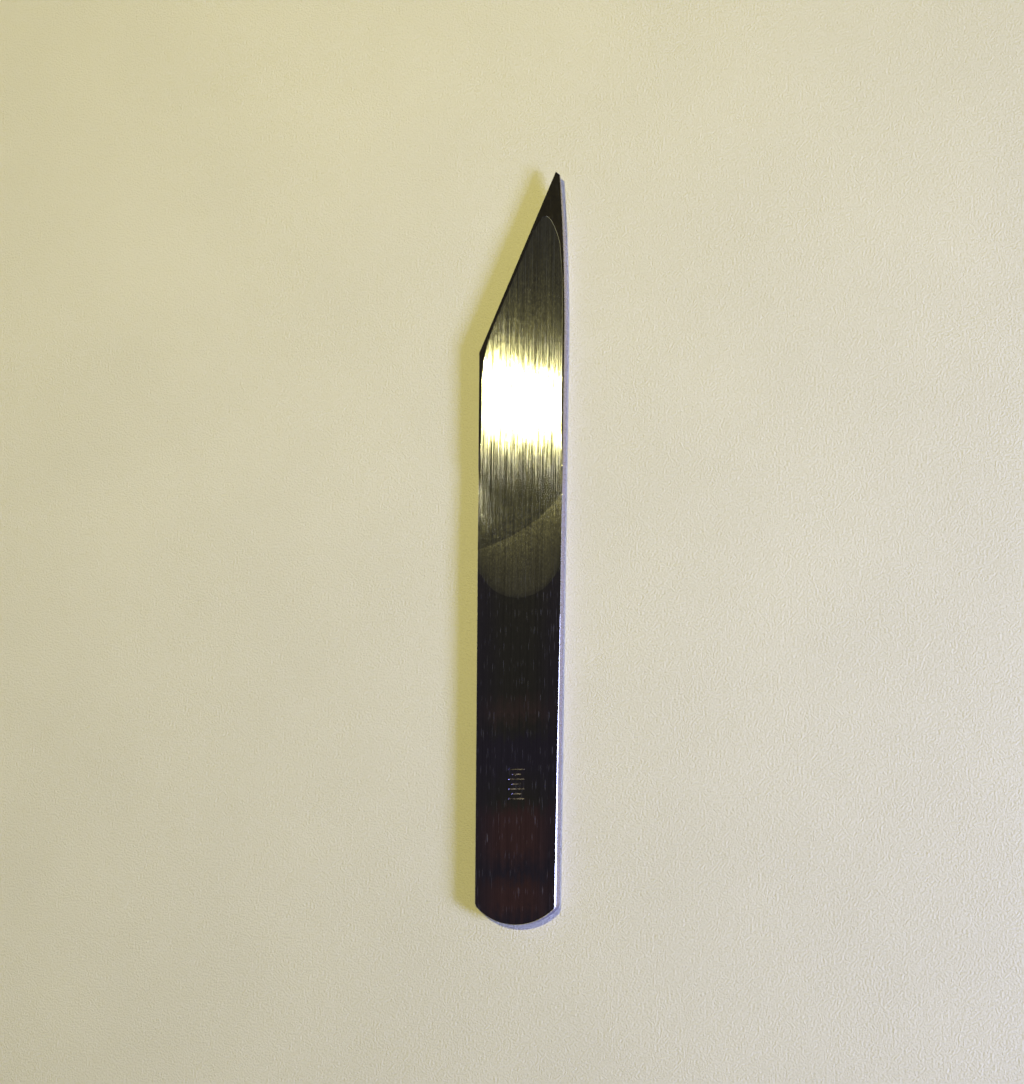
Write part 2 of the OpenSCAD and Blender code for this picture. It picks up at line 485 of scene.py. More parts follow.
@dataclass(frozen=True)
class Outline:
    """The knife's outline as stations, counterclockwise, with the named ones."""

    points: np.ndarray
    normals: np.ndarray
    named: dict[str, int]

    def place(self, name: str) -> np.ndarray:
        """The place of the station with a name."""
        return self.points[self.named[name]]

    @classmethod
    def of(cls, blank: Blank, step: float) -> "Outline":
        """Walks round the blank's outline.

        Args:
            blank: The ground bar.
            step: The distance between two stations.

        Returns:
            The outline.
        """
        ridge_left, ridge_right = blank.bevel_ends(blank.thickness)
        weld_left, weld_right = blank.bevel_ends(blank.steel_thickness)
        seam_left, seam_right = blank.seam_end(blank.side_x), blank.seam_end(blank.spine_x)
        butt, butt_y = cls.butt(blank, step)
        tip_flat = cls.tip_flat(blank, step)
        kept_right = [seam_right, ridge_right, weld_right, blank.spine_y]
        right_y = spaced(butt_y, tip_flat[0, 1], step, kept_right)
        edge_y = spaced(blank.point_y, blank.heel_y, step)
        left_y = spaced(blank.heel_y, butt_y, step, [weld_left, ridge_left, seam_left])[1:]
        parts = [
            butt,
            np.column_stack([blank.spine_x(right_y), right_y]),
            tip_flat[1:],
            np.column_stack([blank.edge_x(edge_y), edge_y])[1:],
            np.column_stack([blank.side_x(left_y), left_y]),
        ]
        points = np.concatenate(parts)
        spine_start, side_start = len(butt), len(points) - len(left_y)
        named = {}
        for name, places, start, y in (
            ("seam_right", right_y, spine_start, seam_right),
            ("ridge_right", right_y, spine_start, ridge_right),
            ("weld_right", right_y, spine_start, weld_right),
            ("weld_left", left_y, side_start, weld_left),
            ("ridge_left", left_y, side_start, ridge_left),
            ("seam_left", left_y, side_start, seam_left),
        ):
            named[name] = int(start + np.argmin(np.abs(places - y)))
        return cls(points, cls.outward(points), named)

    @staticmethod
    def butt(blank: Blank, step: float) -> tuple[np.ndarray, float]:
        """The arc at the tang's end, between its two broken corners.

        Args:
            blank: The ground bar.
            step: The distance between two stations.

        Returns:
            The places on the arc, and where the corners meet the sides along the knife.
        """
        corner_x = float(blank.spine_x(blank.from_butt(blank.corner_place)))
        corner_y = blank.arc_y - math.sqrt(blank.butt_radius**2 - corner_x**2)
        lean = math.asin(corner_x / blank.butt_radius)
        leg = blank.corner_break / 2 / math.sin(math.pi / 4 + lean / 2)
        arc = lean - leg / blank.butt_radius
        turn = spaced(-arc, arc, step / blank.butt_radius)
        x = blank.butt_radius * np.sin(turn)
        y = blank.arc_y - blank.butt_radius * np.cos(turn)
        return np.column_stack([x, y]), corner_y + leg

    @staticmethod
    def tip_flat(blank: Blank, step: float) -> np.ndarray:
        """The short flat that blunts the point.

        Args:
            blank: The ground bar.
            step: The distance between two stations, which are twice as close here.

        Returns:
            The places from the spine to the point.
        """
        way = np.array([math.cos(blank.tip_flat_angle), -math.sin(blank.tip_flat_angle)])
        tip = np.array([blank.tip_x, blank.point_y])

        def gap(length: float) -> float:
            """How far the flat's end falls short of the spine at a length."""
            x, y = tip + length * way
            return float(blank.spine_x(y)) - x

        reach = solve(gap, 0.0, 2 * blank.tip_inset)
        return tip + np.outer(spaced(reach, 0.0, step / 2), way)

    @staticmethod
    def outward(points: np.ndarray) -> np.ndarray:
        """Vectors that set each station out by one along both of its sides.

        Args:
            points: The stations, counterclockwise.

        Returns:
            One vector for each station.
        """
        along = np.roll(points, -1, 0) - points
        along /= np.linalg.norm(along, axis=1)[:, None]
        after = np.column_stack([along[:, 1], -along[:, 0]])
        before = np.roll(after, 1, 0)
        return (after + before) / (1 + np.sum(after * before, axis=1))[:, None]


def within(spots: np.ndarray, ring: np.ndarray) -> np.ndarray:
    """Tells which places lie inside a closed ring.

    Args:
        spots: The places, one to a row.
        ring: The ring's corners, one to a row.

    Returns:
        True for each place inside.
    """
    ahead = np.roll(ring, -1, 0)
    x, y = spots[:, :1], spots[:, 1:]
    spans = (ring[:, 1] > y) != (ahead[:, 1] > y)
    rise = np.where(ahead[:, 1] == ring[:, 1], 1.0, ahead[:, 1] - ring[:, 1])
    cross = ring[:, 0] + (y - ring[:, 1]) * (ahead[:, 0] - ring[:, 0]) / rise
    return (spans & (x < cross)).sum(1) % 2 == 1


def clearance(spots: np.ndarray, ring: np.ndarray) -> np.ndarray:
    """How far places lie from a closed outline.

    Args:
        spots: The places.
        ring: The outline's corners, in order.

    Returns:
        The distance of each place to the nearest side of the outline.
    """
    side = np.roll(ring, -1, 0) - ring
    from_corner = spots[:, None] - ring[None]
    squared = np.maximum((side**2).sum(1), TINY**2)
    along = np.clip((from_corner * side).sum(2) / squared, 0, 1)
    return np.linalg.norm(from_corner - along[..., None] * side, axis=2).min(1)


@dataclass(frozen=True)
class Station:
    """One place on a piece's outline, and how its edges at the back and underneath are eased.

    An ease is the edge's width, and its round runs from 0 for flat to 1 for a quarter circle.
    A thin station is a sharp edge without a wall.
    """

    place: np.ndarray
    outward: np.ndarray
    back_ease: float = 0.0
    under_ease: float = 0.0
    back_round: float = 1.0
    under_round: float = 0.25
    thin: bool = False


@dataclass
class Slab:
    """A closed piece between two height functions, inside an outline with eased edges.

    An ease takes up no more than its share of the wall. Places on a feature line and places
    to fill in keep their clearances, and vertices closer than merge become one.
    """

    name: str
    back: Height
    under: Height
    ease_steps: int = 3
    ease_share: float = 0.3
    thinnest: float = 1e-5
    line_clearance: float = 0.05
    fill_clearance: float = 0.3
    fill_batch: int = 800
    merge: float = 0.0002
    verts: list[Triple] = field(default_factory=list)
    faces: list[tuple[int, ...]] = field(default_factory=list)
    kinds: list[Side] = field(default_factory=list)

    def vertex(self, x: float, y: float, z: float) -> int:
        """Adds a vertex and returns its number."""
        self.verts.append((float(x), float(y), float(z)))
        return len(self.verts) - 1

    def face(self, corners: Sequence[int], kind: Side) -> None:
        """Adds a face, without its repeated corners.

        Args:
            corners: The numbers of its vertices, counterclockwise from outside.
            kind: The part of the skin that it belongs to.
        """
        unique = [c for i, c in enumerate(corners) if c != corners[i - 1]]
        if len(set(unique)) >= 3:
            self.faces.append(tuple(unique))
            self.kinds.append(kind)

    def column(self, station: Station) -> list[int]:
        """Adds the vertices of one station, from the back down to the underside.

        Args:
            station: The place on the outline.

        Returns:
            The numbers of the vertices.
        """
        x, y = station.place
        top = float(self.back(x, y))
        height = top - float(self.under(x, y))
        if station.thin or height < self.thinnest:
            return [self.vertex(x, y, top)] * (2 * (self.ease_steps + 1))
        back, under = self.ease(station, True, height), self.ease(station, False, height)
        return back + under[::-1]

    def ease(self, station: Station, upper: bool, height: float) -> list[int]:
        """Adds the vertices of one eased edge, from the face that it bounds out to the wall.

        Args:
            station: The place on the outline.
            upper: True for the edge at the back, False for the one underneath.
            height: The height of the wall.

        Returns:
            The numbers of the vertices.
        """
        face, way = (self.back, -1) if upper else (self.under, 1)
        bulge = station.back_round if upper else station.under_round
        width = station.back_ease if upper else station.under_ease
        width = min(width, self.ease_share * height)
        level = float(face(*(station.place - station.outward * width)))
        ring = []
        for i in range(self.ease_steps + 1):
            t = i / self.ease_steps
            out = t + bulge * (math.sin(t * math.pi / 2) - t)
            down = t + bulge * (1 - math.cos(t * math.pi / 2) - t)
            spot = station.place - station.outward * width * (1 - out)
            ring.append(self.vertex(*spot, level + way * width * down))
        return ring

    def patch(self, ring: list[int], lines: list[np.ndarray], fill: np.ndarray, kind: Side) -> None:
        """Fills a ring with triangles that follow feature lines.

        Args:
            ring: The numbers of the boundary's vertices, counterclockwise from above.
            lines: Open or closed feature lines, as places in plan.
            fill: Places to fill in between.
            kind: BACK or UNDER, whose height function gives the heights.
        """
        level = self.back if kind is Side.BACK else self.under
        ring = [v for i, v in enumerate(ring) if v != ring[i - 1]]
        plan = [Vector(self.verts[v][:2]) for v in ring]
        edges = [(i, (i + 1) % len(ring)) for i in range(len(ring))]
        border = np.array([tuple(p) for p in plan])
        for line in lines:
            free = within(line, border) & (clearance(line, border) > self.line_clearance)
            first, spot = len(plan), np.cumsum(free) - 1
            plan += [Vector(p) for p in line[free]]
            for i in np.flatnonzero(free[:-1] & free[1:]):
                edges.append((first + int(spot[i]), first + int(spot[i + 1])))
        fixed = np.array([tuple(p) for p in plan])
        for spots in np.array_split(fill, max(1, len(fill) // self.fill_batch)):
            if len(spots):
                gaps = np.linalg.norm(spots[:, None] - fixed[None], axis=2).min(1)
                free = (gaps > self.fill_clearance) & within(spots, border)
                plan += [Vector(p) for p in spots[free]]
        filled = delaunay_2d_cdt(plan, edges, [list(range(len(ring)))], INSIDE_ONLY, SAME_PLACE)
        places = np.array([tuple(p) for p in filled[0]])
        triangles, sources = filled[2], filled[3]
        used = {i for triangle in triangles for i in triangle}
        heights = level(places[:, 0], places[:, 1])
        number: dict[int, int] = {}
        for i in sorted(used):
            rim = [s for s in sources[i] if s < len(ring)]
            number[i] = ring[rim[0]] if rim else self.vertex(*places[i], heights[i])
        for triangle in triangles:
            corners = [number[i] for i in triangle]
            self.face(corners if kind is Side.BACK else corners[::-1], kind)

    def skin(self, stations: Sequence[Station]) -> tuple[list[int], list[int]]:
        """Builds the wall with its eased edges.

        Args:
            stations: The outline, counterclockwise from above.

        Returns:
            The rings of vertices that bound the back and the underside.
        """
        columns = [self.column(s) for s in stations]
        steps = self.ease_steps
        for here, there in zip(columns, columns[1:] + columns[:1]):
            for i in range(len(here) - 1):
                kind = Side.WALL if i == steps else Side.EASED
                self.face([here[i], here[i + 1], there[i + 1], there[i]], kind)
        return [c[0] for c in columns], [c[-1] for c in columns]

    def build(self, finish_of: Callable[[Side, float, float], int]) -> bpy.types.Object:
        """Makes the Blender object, in metres.

        Args:
            finish_of: Gives the number of the finish for a face's kind and middle in plan.

        Returns:
            The object, linked to the scene.
        """
        mesh = bpy.data.meshes.new(self.name)
        mesh.from_pydata([tuple(c * MM for c in v) for v in self.verts], [], self.faces)
        corners = np.array(self.verts)
        for polygon, kind in zip(mesh.polygons, self.kinds):
            middle = corners[list(polygon.vertices)].mean(0)
            polygon.material_index = finish_of(kind, *middle[:2])
            polygon.use_smooth = True
        open_edges = self.sew(mesh)
        made = bpy.data.objects.new(self.name, mesh)
        bpy.context.scene.collection.objects.link(made)
        log.info("%s: %d faces, %d open edges", self.name, len(mesh.polygons), open_edges)
        return made

    def sew(self, mesh: bpy.types.Mesh) -> int:
        """Merges doubled vertices, drops faces that fold onto each other, and marks creases.

        Args:
            mesh: The piece's mesh, with its faces in this slab's order.

        Returns:
            The number of edges that don't lie between two faces.
        """
        work = bmesh.new()
        work.from_mesh(mesh)
        kind_of = work.faces.layers.int.new("kind")
        for face in work.faces:
            face[kind_of] = self.kinds[face.index]
        bmesh.ops.remove_doubles(work, verts=work.verts, dist=self.merge * MM)
        twins: dict[frozenset, list] = {}
        for face in work.faces:
            twins.setdefault(frozenset(face.verts), []).append(face)
        folded = [face for pair in twins.values() if len(pair) > 1 for face in pair]
        bmesh.ops.delete(work, geom=folded, context="FACES")
        for edge in [e for e in work.edges if not e.link_faces]:
            work.edges.remove(edge)
        open_edges = 0
        for edge in work.edges:
            kinds = {face[kind_of] for face in edge.link_faces}
            crease = math.radians(CREASES[Side(min(kinds))])
            edge.smooth = len(kinds) == 1 and edge.calc_face_angle(math.pi) < crease
            open_edges += len(edge.link_faces) != 2
        work.to_mesh(mesh)
        work.free()
        return open_edges


def grid(x: tuple[float, float], y: tuple[float, float], step: float) -> np.ndarray:
    """Places in staggered rows, to fill in a patch.

    Args:
        x: The lowest and highest place across the knife.
        y: The lowest and highest place along it.
        step: The distance between two places.

    Returns:
        The places, one to a row.
    """
    rows = []
    for i, level in enumerate(np.arange(y[0], y[1], step * ROW_HEIGHT)):
        across = np.arange(x[0] + (i % 2) * step / 2, x[1], step)
        rows.append(np.column_stack([across, np.full(len(across), level)]))
    return np.concatenate(rows)


# What both metals share


@dataclass(frozen=True)
class Strokes:
    """The column of plain strokes struck across the tang, in millimetres."""

    count: int = 7
    long: float = 4.4
    short: float = 2.6
    width: float = 0.45
    pitch: float = 1.25
    depth: float = 0.18
    place: float = 35.6
    draft: float = 0.12
    facets: int = 32

    def boxes(self, blank: Blank) -> list[Triple]:
        """Where each stroke is, and how big.

        Args:
            blank: The ground bar.

        Returns:
            The middle along the knife and the half sizes across and along it, of each stroke.
        """
        middle = blank.from_butt(self.place)
        found = []
        for i in range(self.count):
            size = self.long if i % 2 == 0 else self.short
            y = middle + (i - (self.count - 1) / 2) * self.pitch
            found.append((y, size / 2, self.width / 2))
        return found

    def sunk(self, blank: Blank, x: np.ndarray, y: np.ndarray) -> np.ndarray:
        """How far places on the tang are struck in.

        Args:
            blank: The ground bar.
            x: The places across the knife.
            y: The places along it.

        Returns:
            The depths.
        """
        deep = np.zeros(np.broadcast(x, y).shape)
        for middle, half_x, half_y in self.boxes(blank):
            aside = np.maximum(np.abs(x) - half_x + half_y, 0)
            inside = half_y - np.hypot(aside, y - middle)
            deep = np.maximum(deep, self.depth * smooth(inside / self.draft))
        return deep

    def rings(self, blank: Blank) -> list[np.ndarray]:
        """The rim, the middle and the foot of each stroke's slope, as closed rings.

        Args:
            blank: The ground bar.

        Returns:
            The places on each ring.
        """
        turn = np.linspace(0, 2 * math.pi, self.facets + 1)
        found = []
        for middle, half_x, half_y in self.boxes(blank):
            for set_in in (0.0, self.draft / 2, self.draft):
                r = half_y - set_in
                x = r * np.cos(turn) + np.where(np.cos(turn) >= 0, 1, -1) * (half_x - half_y)
                found.append(np.column_stack([x, middle + r * np.sin(turn)]))
        return found


@dataclass
class Lamination:
    """What both metals share: the outline with its eases, and the lines on their faces.

    Sizes are in millimetres. The spine's chamfer thins from the tang's end to nothing at its
    length, and a station lies on the spine, or on the tang's end, where its outward vector
    points that way by the least share. At the nose, the rim's places lie behind its top by
    the squares of values across nose_span, which sets them closer where the rim turns.
    """

    blank: Blank
    outline: Outline
    fine: float = 0.5
    medium: float = 1.2
    coarse: float = 2.0
    micro_ease: float = 0.07
    end_ease: float = 0.12
    spine_chamfer: float = 0.46
    spine_chamfer_length: float = 94.0
    spine_chamfer_round: float = 0.2
    lower_chamfer: float = 0.6
    on_spine: float = 0.9
    on_end: float = 0.3
    nose_span: tuple[float, float] = (0.1, 2.4)
    nose_steps: int = 16
    least_gap: float = 0.05
    arc_span: tuple[float, float] = (math.radians(-172), math.radians(-8))
    arc_steps: int = 72

    def station(self, index: int, covers: Covers) -> Station:
        """One place on the outline with its eased edges.

        Args:
            index: The number of the outline's station.
            covers: Tells whether the back's and the underside's edge lie on other metal.

        Returns:
            The station.
        """
        place, outward = self.outline.points[index], self.outline.normals[index]
        back_covered, under_covered = covers(*place)
        chamfer = 0.0
        if place[0] > 0 and abs(outward[0]) > self.on_spine:
            rear = self.blank.from_butt(self.spine_chamfer_length) - place[1]
            chamfer = self.spine_chamfer * max(0.0, rear) / self.spine_chamfer_length
        if abs(outward[1]) > self.on_end and place[1] < 0:
            upper = lower = self.end_ease
        else:
            low = float(self.blank.under(*place))
            upper, lower = self.micro_ease, max(self.micro_ease, self.lower_chamfer - low)
        return Station(
            place,
            outward,
            back_ease=0.0 if back_covered else max(upper, chamfer),
            under_ease=0.0 if under_covered else lower,
            back_round=self.spine_chamfer_round if chamfer > self.micro_ease else 1.0,
        )

    def stations(self, first: str, last: str, covers: Covers) -> list[Station]:
        """The outline's stations from one named place round to another.

        Args:
            first: The name of the first place.
            last: The name of the last place.
            covers: Tells whether the back's and the underside's edge lie on other metal.

        Returns:
            The stations, counterclockwise from above.
        """
        count = len(self.outline.points)
        start, end = self.outline.named[first], self.outline.named[last]
        end += count if end < start else 0
        return [self.station(i % count, covers) for i in range(start, end + 1)]

    def seam(self) -> np.ndarray:
        """The line on the back where the steel begins.

        Returns:
            The places along the line, from left to right.
        """
        start, end = self.outline.place("seam_left"), self.outline.place("seam_right")
        inner = spaced(start[0], end[0], self.fine)[1:-1]
        return np.array([start, *((x, self.blank.steel_start(x)) for x in inner), end])

    def across(self, name: str) -> np.ndarray:
        """A line on the bevel, parallel to the cutting edge.

        Args:
            name: The line's name in the outline, which is weld or ridge.

        Returns:
            The places inside the line's ends, from left to right.
        """
        start, end = self.outline.place(name + "_left"), self.outline.place(name + "_right")
        count = round(float(np.linalg.norm(end - start)) / self.fine)
        return (start + np.outer(np.linspace(0, 1, count + 1), end - start))[1:-1]

    def rims(self, inset: float = 0.0) -> np.ndarray:
        """The hollow's limit ahead of where the rims run out, from left round to right.

        Args:
            inset: How far the line is set in from the limit.

        Returns:
            The places along the line.
        """
        blank = self.blank
        nose_y = blank.hollow_ends[1] - inset - np.linspace(*self.nose_span, self.nose_steps) ** 2
        side_y = spaced(blank.shoulder_y, nose_y[-1], self.fine)[:-1]
        y = np.concatenate([side_y, nose_y[::-1]])
        left, right = blank.hollow_sides(y)
        left, right = left + inset, right - inset * blank.spine_shoulder_share
        clear = right > left + self.least_gap
        up, down = np.column_stack([left, y])[clear], np.column_stack([right, y])[clear]
        return np.concatenate([up, down[::-1]])

    def rear_arc(self) -> np.ndarray:
        """The hollow's round rear end.

        Returns:
            The places along the arc, from left to right.
        """
        x, y, radius = self.blank.rear_circle()
        turn = np.linspace(*self.arc_span, self.arc_steps)
        return np.column_stack([x + radius * np.cos(turn), y + radius * np.sin(turn)])

    def fill(self, start: float, end: float, step: float) -> np.ndarray:
        """Places to fill in between two places along the knife, over its whole width."""
        side = round(self.blank.half)
        return grid((-side, side), (start, end), step)


# Finishes


class Wire:
    """A shader socket's value, on which Python's operators add Math nodes."""

    def __init__(self, graph: "Graph", socket: bpy.types.NodeSocket) -> None:
        """Holds a socket of a graph."""
        self.graph = graph
        self.socket = socket

    def math(self, operation: str, *others: Any) -> "Wire":
        """Adds a Math node with this value first.

        Args:
            operation: The node's operation.
            others: Its further values.

        Returns:
            The result.
        """
        values = {i: v for i, v in enumerate((self, *others))}
        return self.graph.add("ShaderNodeMath", {"operation": operation}, values)

    def __add__(self, other: Any) -> "Wire":
        """This value plus another."""
        return self.math("ADD", other)

    def __sub__(self, other: Any) -> "Wire":
        """This value less another."""
        return self.math("SUBTRACT", other)

    def __mul__(self, other: Any) -> "Wire":
        """This value times another."""
        return self.math("MULTIPLY", other)

    def __truediv__(self, other: Any) -> "Wire":
        """This value divided by another."""
        return self.math("DIVIDE", other)

    def __rsub__(self, other: float) -> "Wire":
        """A number less this value."""
        return self.graph.add("ShaderNodeMath", {"operation": "SUBTRACT"}, {0: other, 1: self})

    def __rtruediv__(self, other: float) -> "Wire":
        """A number divided by this value."""
        return self.graph.add("ShaderNodeMath", {"operation": "DIVIDE"}, {0: other, 1: self})

    __radd__ = __add__
    __rmul__ = __mul__

    def between(self, low: float, high: float) -> "Wire":
        """A soft step of this value.

        Args:
            low: The value where the step is 0.
            high: The value where it is 1.

        Returns:
            The step.
        """
        sockets = {"Value": self, "From Min": low, "From Max": high}
        settings = {"interpolation_type": "SMOOTHSTEP"}
        return self.graph.add("ShaderNodeMapRange", settings, sockets)


class Graph:
    """The nodes of one material or of the world."""

    def __init__(self, tree: bpy.types.NodeTree) -> None:
        """Empties a node tree to build in."""
        self.tree = tree
        tree.nodes.clear()

    def add(
        self,
        kind: str,
        settings: dict[str, Any] | None = None,
        sockets: dict[Any, Any] | None = None,
        output: Any = 0,
    ) -> Wire:
        """Adds a node.

        Args:
            kind: The node's type.
            settings: Its properties, and a ramp's stops under the name stops.
            sockets: Values or wires for its inputs, by name or number.
            output: The name or number of the output to give back.

        Returns:
            The wire of that output.
        """
        node = self.tree.nodes.new(kind)
        for name, value in (settings or {}).items():
            if name == "stops":
                ramp = node.color_ramp.elements
                while len(ramp) < len(value):
                    ramp.new(1.0)
                for element, (position, colour) in zip(ramp, value):
                    element.position, element.color = position, (*colour, 1.0)
            else:
                setattr(node, name, value)
        for name, value in (sockets or {}).items():
            if isinstance(value, Wire):
                self.tree.links.new(value.socket, node.inputs[name])
            else:
                node.inputs[name].default_value = value
        return Wire(self, node.outputs[output] if len(node.outputs) else None)

    def mix(self, factor: Any, first: Any, second: Any, blend: str = "MIX") -> Wire:
        """Mixes two colours.

        Args:
            factor: How strong the second is.
            first: The first colour.
            second: The second colour.
            blend: How the second goes on the first.

        Returns:
            The mixed colour.
        """
        settings = {"data_type": "RGBA", "blend_type": blend}
        sockets = {0: factor, MIX_FIRST: first, MIX_SECOND: second}
        return self.add("ShaderNodeMix", settings, sockets, MIX_RESULT)

    def stretched(self, scale: Triple) -> Wire:
        """The place on the knife, in millimetres times a scale for each axis.

        Args:
            scale: The scale along each axis.

        Returns:
            The place.
        """
        place = self.add("ShaderNodeTexCoord", None, None, "Object")
        factors = tuple(s / MM for s in scale)
        return self.add("ShaderNodeVectorMath", {"operation": "MULTIPLY"}, {0: place, 1: factors})

    def axis(self, name: str) -> Wire:
        """One coordinate of the place on the knife, in millimetres."""
        return self.add("ShaderNodeSeparateXYZ", None, {0: self.stretched((1.0, 1.0, 1.0))}, name)

    def noise(self, scale: Triple, detail: float = 2.0, rough: float = 0.5) -> Wire:
        """Noise from 0 to 1 with a scale for each axis.

        Args:
            scale: Waves per millimetre along each axis.
            detail: The number of finer layers.
            rough: How strong the finer layers are.

        Returns:
            The noise.
        """
        sockets = {"Scale": 1.0, "Detail": detail, "Roughness": rough}
        sockets["Vector"] = self.stretched(scale)
        return self.add("ShaderNodeTexNoise", None, sockets, "Fac")


def grey(level: float, warm: float = 0.0) -> Colour:
    """A grey with a warm or, below zero, a cool cast."""
    return (level * (1 + warm), level, level * (1 - warm * COOLING), 1.0)


def scaled(values: Triple, factors: Triple) -> Triple:
    """Values times a factor for each."""
    return tuple(value * factor for value, factor in zip(values, factors))


class Grain(Enum):
    """Which way the grinding scratches run: waves per millimetre along each axis."""

    LENGTHWISE = (5.6, 0.032, 5.6)
    CROSSWISE = (0.35, 7.0, 0.35)
    UPRIGHT = (6.0, 6.0, 0.5)
    CLOUDY = (1.4, 1.4, 1.4)


@dataclass(frozen=True)
class Marks:
    """What the marks of grinding and wear have in common on every finish.

    Scales are shares of the grain's waves, waves are waves per millimetre, and the rest
    are weights of the fine and broad streaks, the mottle, the flecks and the scratches.
    """

    broad_scale: Triple = (0.22, 0.22, 0.22)
    scratch_scale: Triple = (1.3, 7.0, 1.3)
    scratch_range: tuple[float, float] = (0.74, 0.80)
    fleck_scale: float = 0.9
    fleck_waves: float = 1.3
    mottle_waves: Triple = (0.9, 0.5, 0.9)
    streak: tuple[float, float] = (0.6, 0.4)
    contrast: float = 2.4
    haze: tuple[float, float, float] = (1.4, 1.4, 0.4)
    roughness: tuple[float, float, float] = (0.5, 0.4, 0.9)
    height: tuple[float, float, float] = (0.7, 0.5, 0.06)
    worn_metal: float = 0.14
    coat_roughness: float = 0.5


@dataclass(frozen=True)
class ReflectionBands:
    """Painted reflections of the surroundings, in faint bands of colour along the knife that pass
    into one colour aside.

    Attributes:
        bands: Each band's place along the knife, in millimetres, and its colour.
        aside: The colour towards the sides.
        reach: Where aside starts and is full, from the middle, in millimetres.
        share: How strong aside is.
        wander: How far mottle and broad streaks shift the bands, in millimetres.
    """

    bands: tuple[tuple[float, Triple], ...]
    aside: Triple
    reach: tuple[float, float] = (3.0, 11.0)
    share: float = 0.75
    wander: tuple[float, float] = (6.0, 8.0)

    def over(self, g: Graph, colour: Wire, mottle: Wire, broad: Wire) -> Wire:
        """Lays the painted reflection bands over a colour.

        Args:
            g: The material's nodes.
            colour: The metal's colour.
            mottle: The metal's mottle.
            broad: Its broad streaks.

        Returns:
            The tinted colour.
        """
        first, last = self.bands[0][0], self.bands[-1][0]
        stops = [((y - first) / (last - first), tint) for y, tint in self.bands]
        wander = (mottle - MIDDLE) * self.wander[0] + (broad - MIDDLE) * self.wander[1]
        place = (g.axis("Y") + wander - first) / (last - first)
        bands = g.add("ShaderNodeValToRGB", {"stops": stops}, {0: place})
        side = g.axis("X").math("ABSOLUTE").between(*self.reach) * self.share
        return g.mix(1.0, colour, g.mix(side, bands, (*self.aside, 1.0)), "MULTIPLY")


@dataclass(frozen=True)
class Fade:
    """Where a haze thins out to the rear: inside an arc, or ahead of its middle.

    Sizes are in millimetres, and the soft ones are the widths of the two transitions.
    """

    x: float
    y: float
    radius: float
    soft_arc: float = 2.5
    soft_ahead: float = 2.0

    def mask(self, g: Graph) -> Wire:
        """Makes the mask.

        Args:
            g: The material's nodes.

        Returns:
            The mask, which is 1 where the haze is full.
        """
        settings = {"operation": "DISTANCE"}
        sockets = {0: g.stretched((1.0, 1.0, 0.0)), 1: (self.x, self.y, 0.0)}
        apart = g.add("ShaderNodeVectorMath", settings, sockets, "Value")
        inside = apart.between(self.radius, self.radius - self.soft_arc)
        return inside.math("MAXIMUM", g.axis("Y").between(self.y, self.y + self.soft_ahead))


@dataclass(frozen=True)
class Ground:
    """Steel or iron with a ground, brushed or honed finish."""

    name: str
    colour: Colour
    shade: Colour
    roughness: float
    anisotropy: float
    grain: Grain
    contrast: float
    grooves: float
    mottle: float
    scratches: float
    haze: float = 0.0
    turn: float = 0.0
    fade: Fade | None = None
    reflection_bands: ReflectionBands | None = None
    marks: Marks = Marks()

    def material(self) -> bpy.types.Material:
        """Builds the material.

        Returns:
            The material.
        """
        made = bpy.data.materials.new(self.name)
        made.use_nodes = True
        g, marks, waves = Graph(made.node_tree), self.marks, self.grain.value
        fine = g.noise(waves, 1.0)
        broad = g.noise(scaled(waves, marks.broad_scale))
        mottle = g.noise(marks.mottle_waves, 3.0, 0.6)
        scratch = g.noise(scaled(waves, marks.scratch_scale), 0.0)
        aside = marks.fleck_scale
        fleck = g.noise((waves[0] * aside, marks.fleck_waves, waves[2] * aside), 1.0)
        streak = fine * marks.streak[0] + broad * marks.streak[1]
        lines = scratch.between(*marks.scratch_range) * self.scratches

        tone = (streak - MIDDLE) * (marks.contrast * self.contrast)
        tone = tone + (mottle - MIDDLE) * self.mottle + MIDDLE
        colour = g.mix(tone.between(0.0, 1.0), self.shade, self.colour)
        # Painted reflection: faint bands of colour for the surroundings mirrored in the steel
        if self.reflection_bands:
            colour = self.reflection_bands.over(g, colour, mottle, broad)
        by_streak, by_fleck, less = marks.haze
        haze = (streak * by_streak + fleck * by_fleck - less) * self.haze
        if self.fade:
            haze = haze * self.fade.mask(g)
        by_streak, by_mottle, by_fleck = marks.roughness
        vary = (streak - MIDDLE) * by_streak + (mottle - MIDDLE) * by_mottle
        vary = vary + (fleck - MIDDLE) * by_fleck
        by_fine, by_broad, by_lines = marks.height
        height = fine * by_fine + broad * by_broad - lines * by_lines
        bump = {"Strength": 1.0, "Distance": self.grooves * MM, "Height": height}
        tangent = {"direction_type": "UV_MAP", "uv_map": UV_LAYER}
        sockets = {
            # Scratches are wear; their bluish colour is a painted reflection of cool light
            "Base Color": g.mix(lines, colour, SCRATCH_AND_COOL_REFLECTION),
            "Metallic": 1.0 - lines * marks.worn_metal,
            "Roughness": self.roughness * (vary + 1.0),
            "Normal": g.add("ShaderNodeBump", None, bump),
            "Anisotropic": self.anisotropy,
            "Anisotropic Rotation": self.turn,
            "Tangent": g.add("ShaderNodeTangent", tangent),
            "Coat Weight": haze,
            "Coat Roughness": marks.coat_roughness,
        }
        shader = g.add("ShaderNodeBsdfPrincipled", None, sockets)
        g.add("ShaderNodeOutputMaterial", None, {"Surface": shader})
        return made


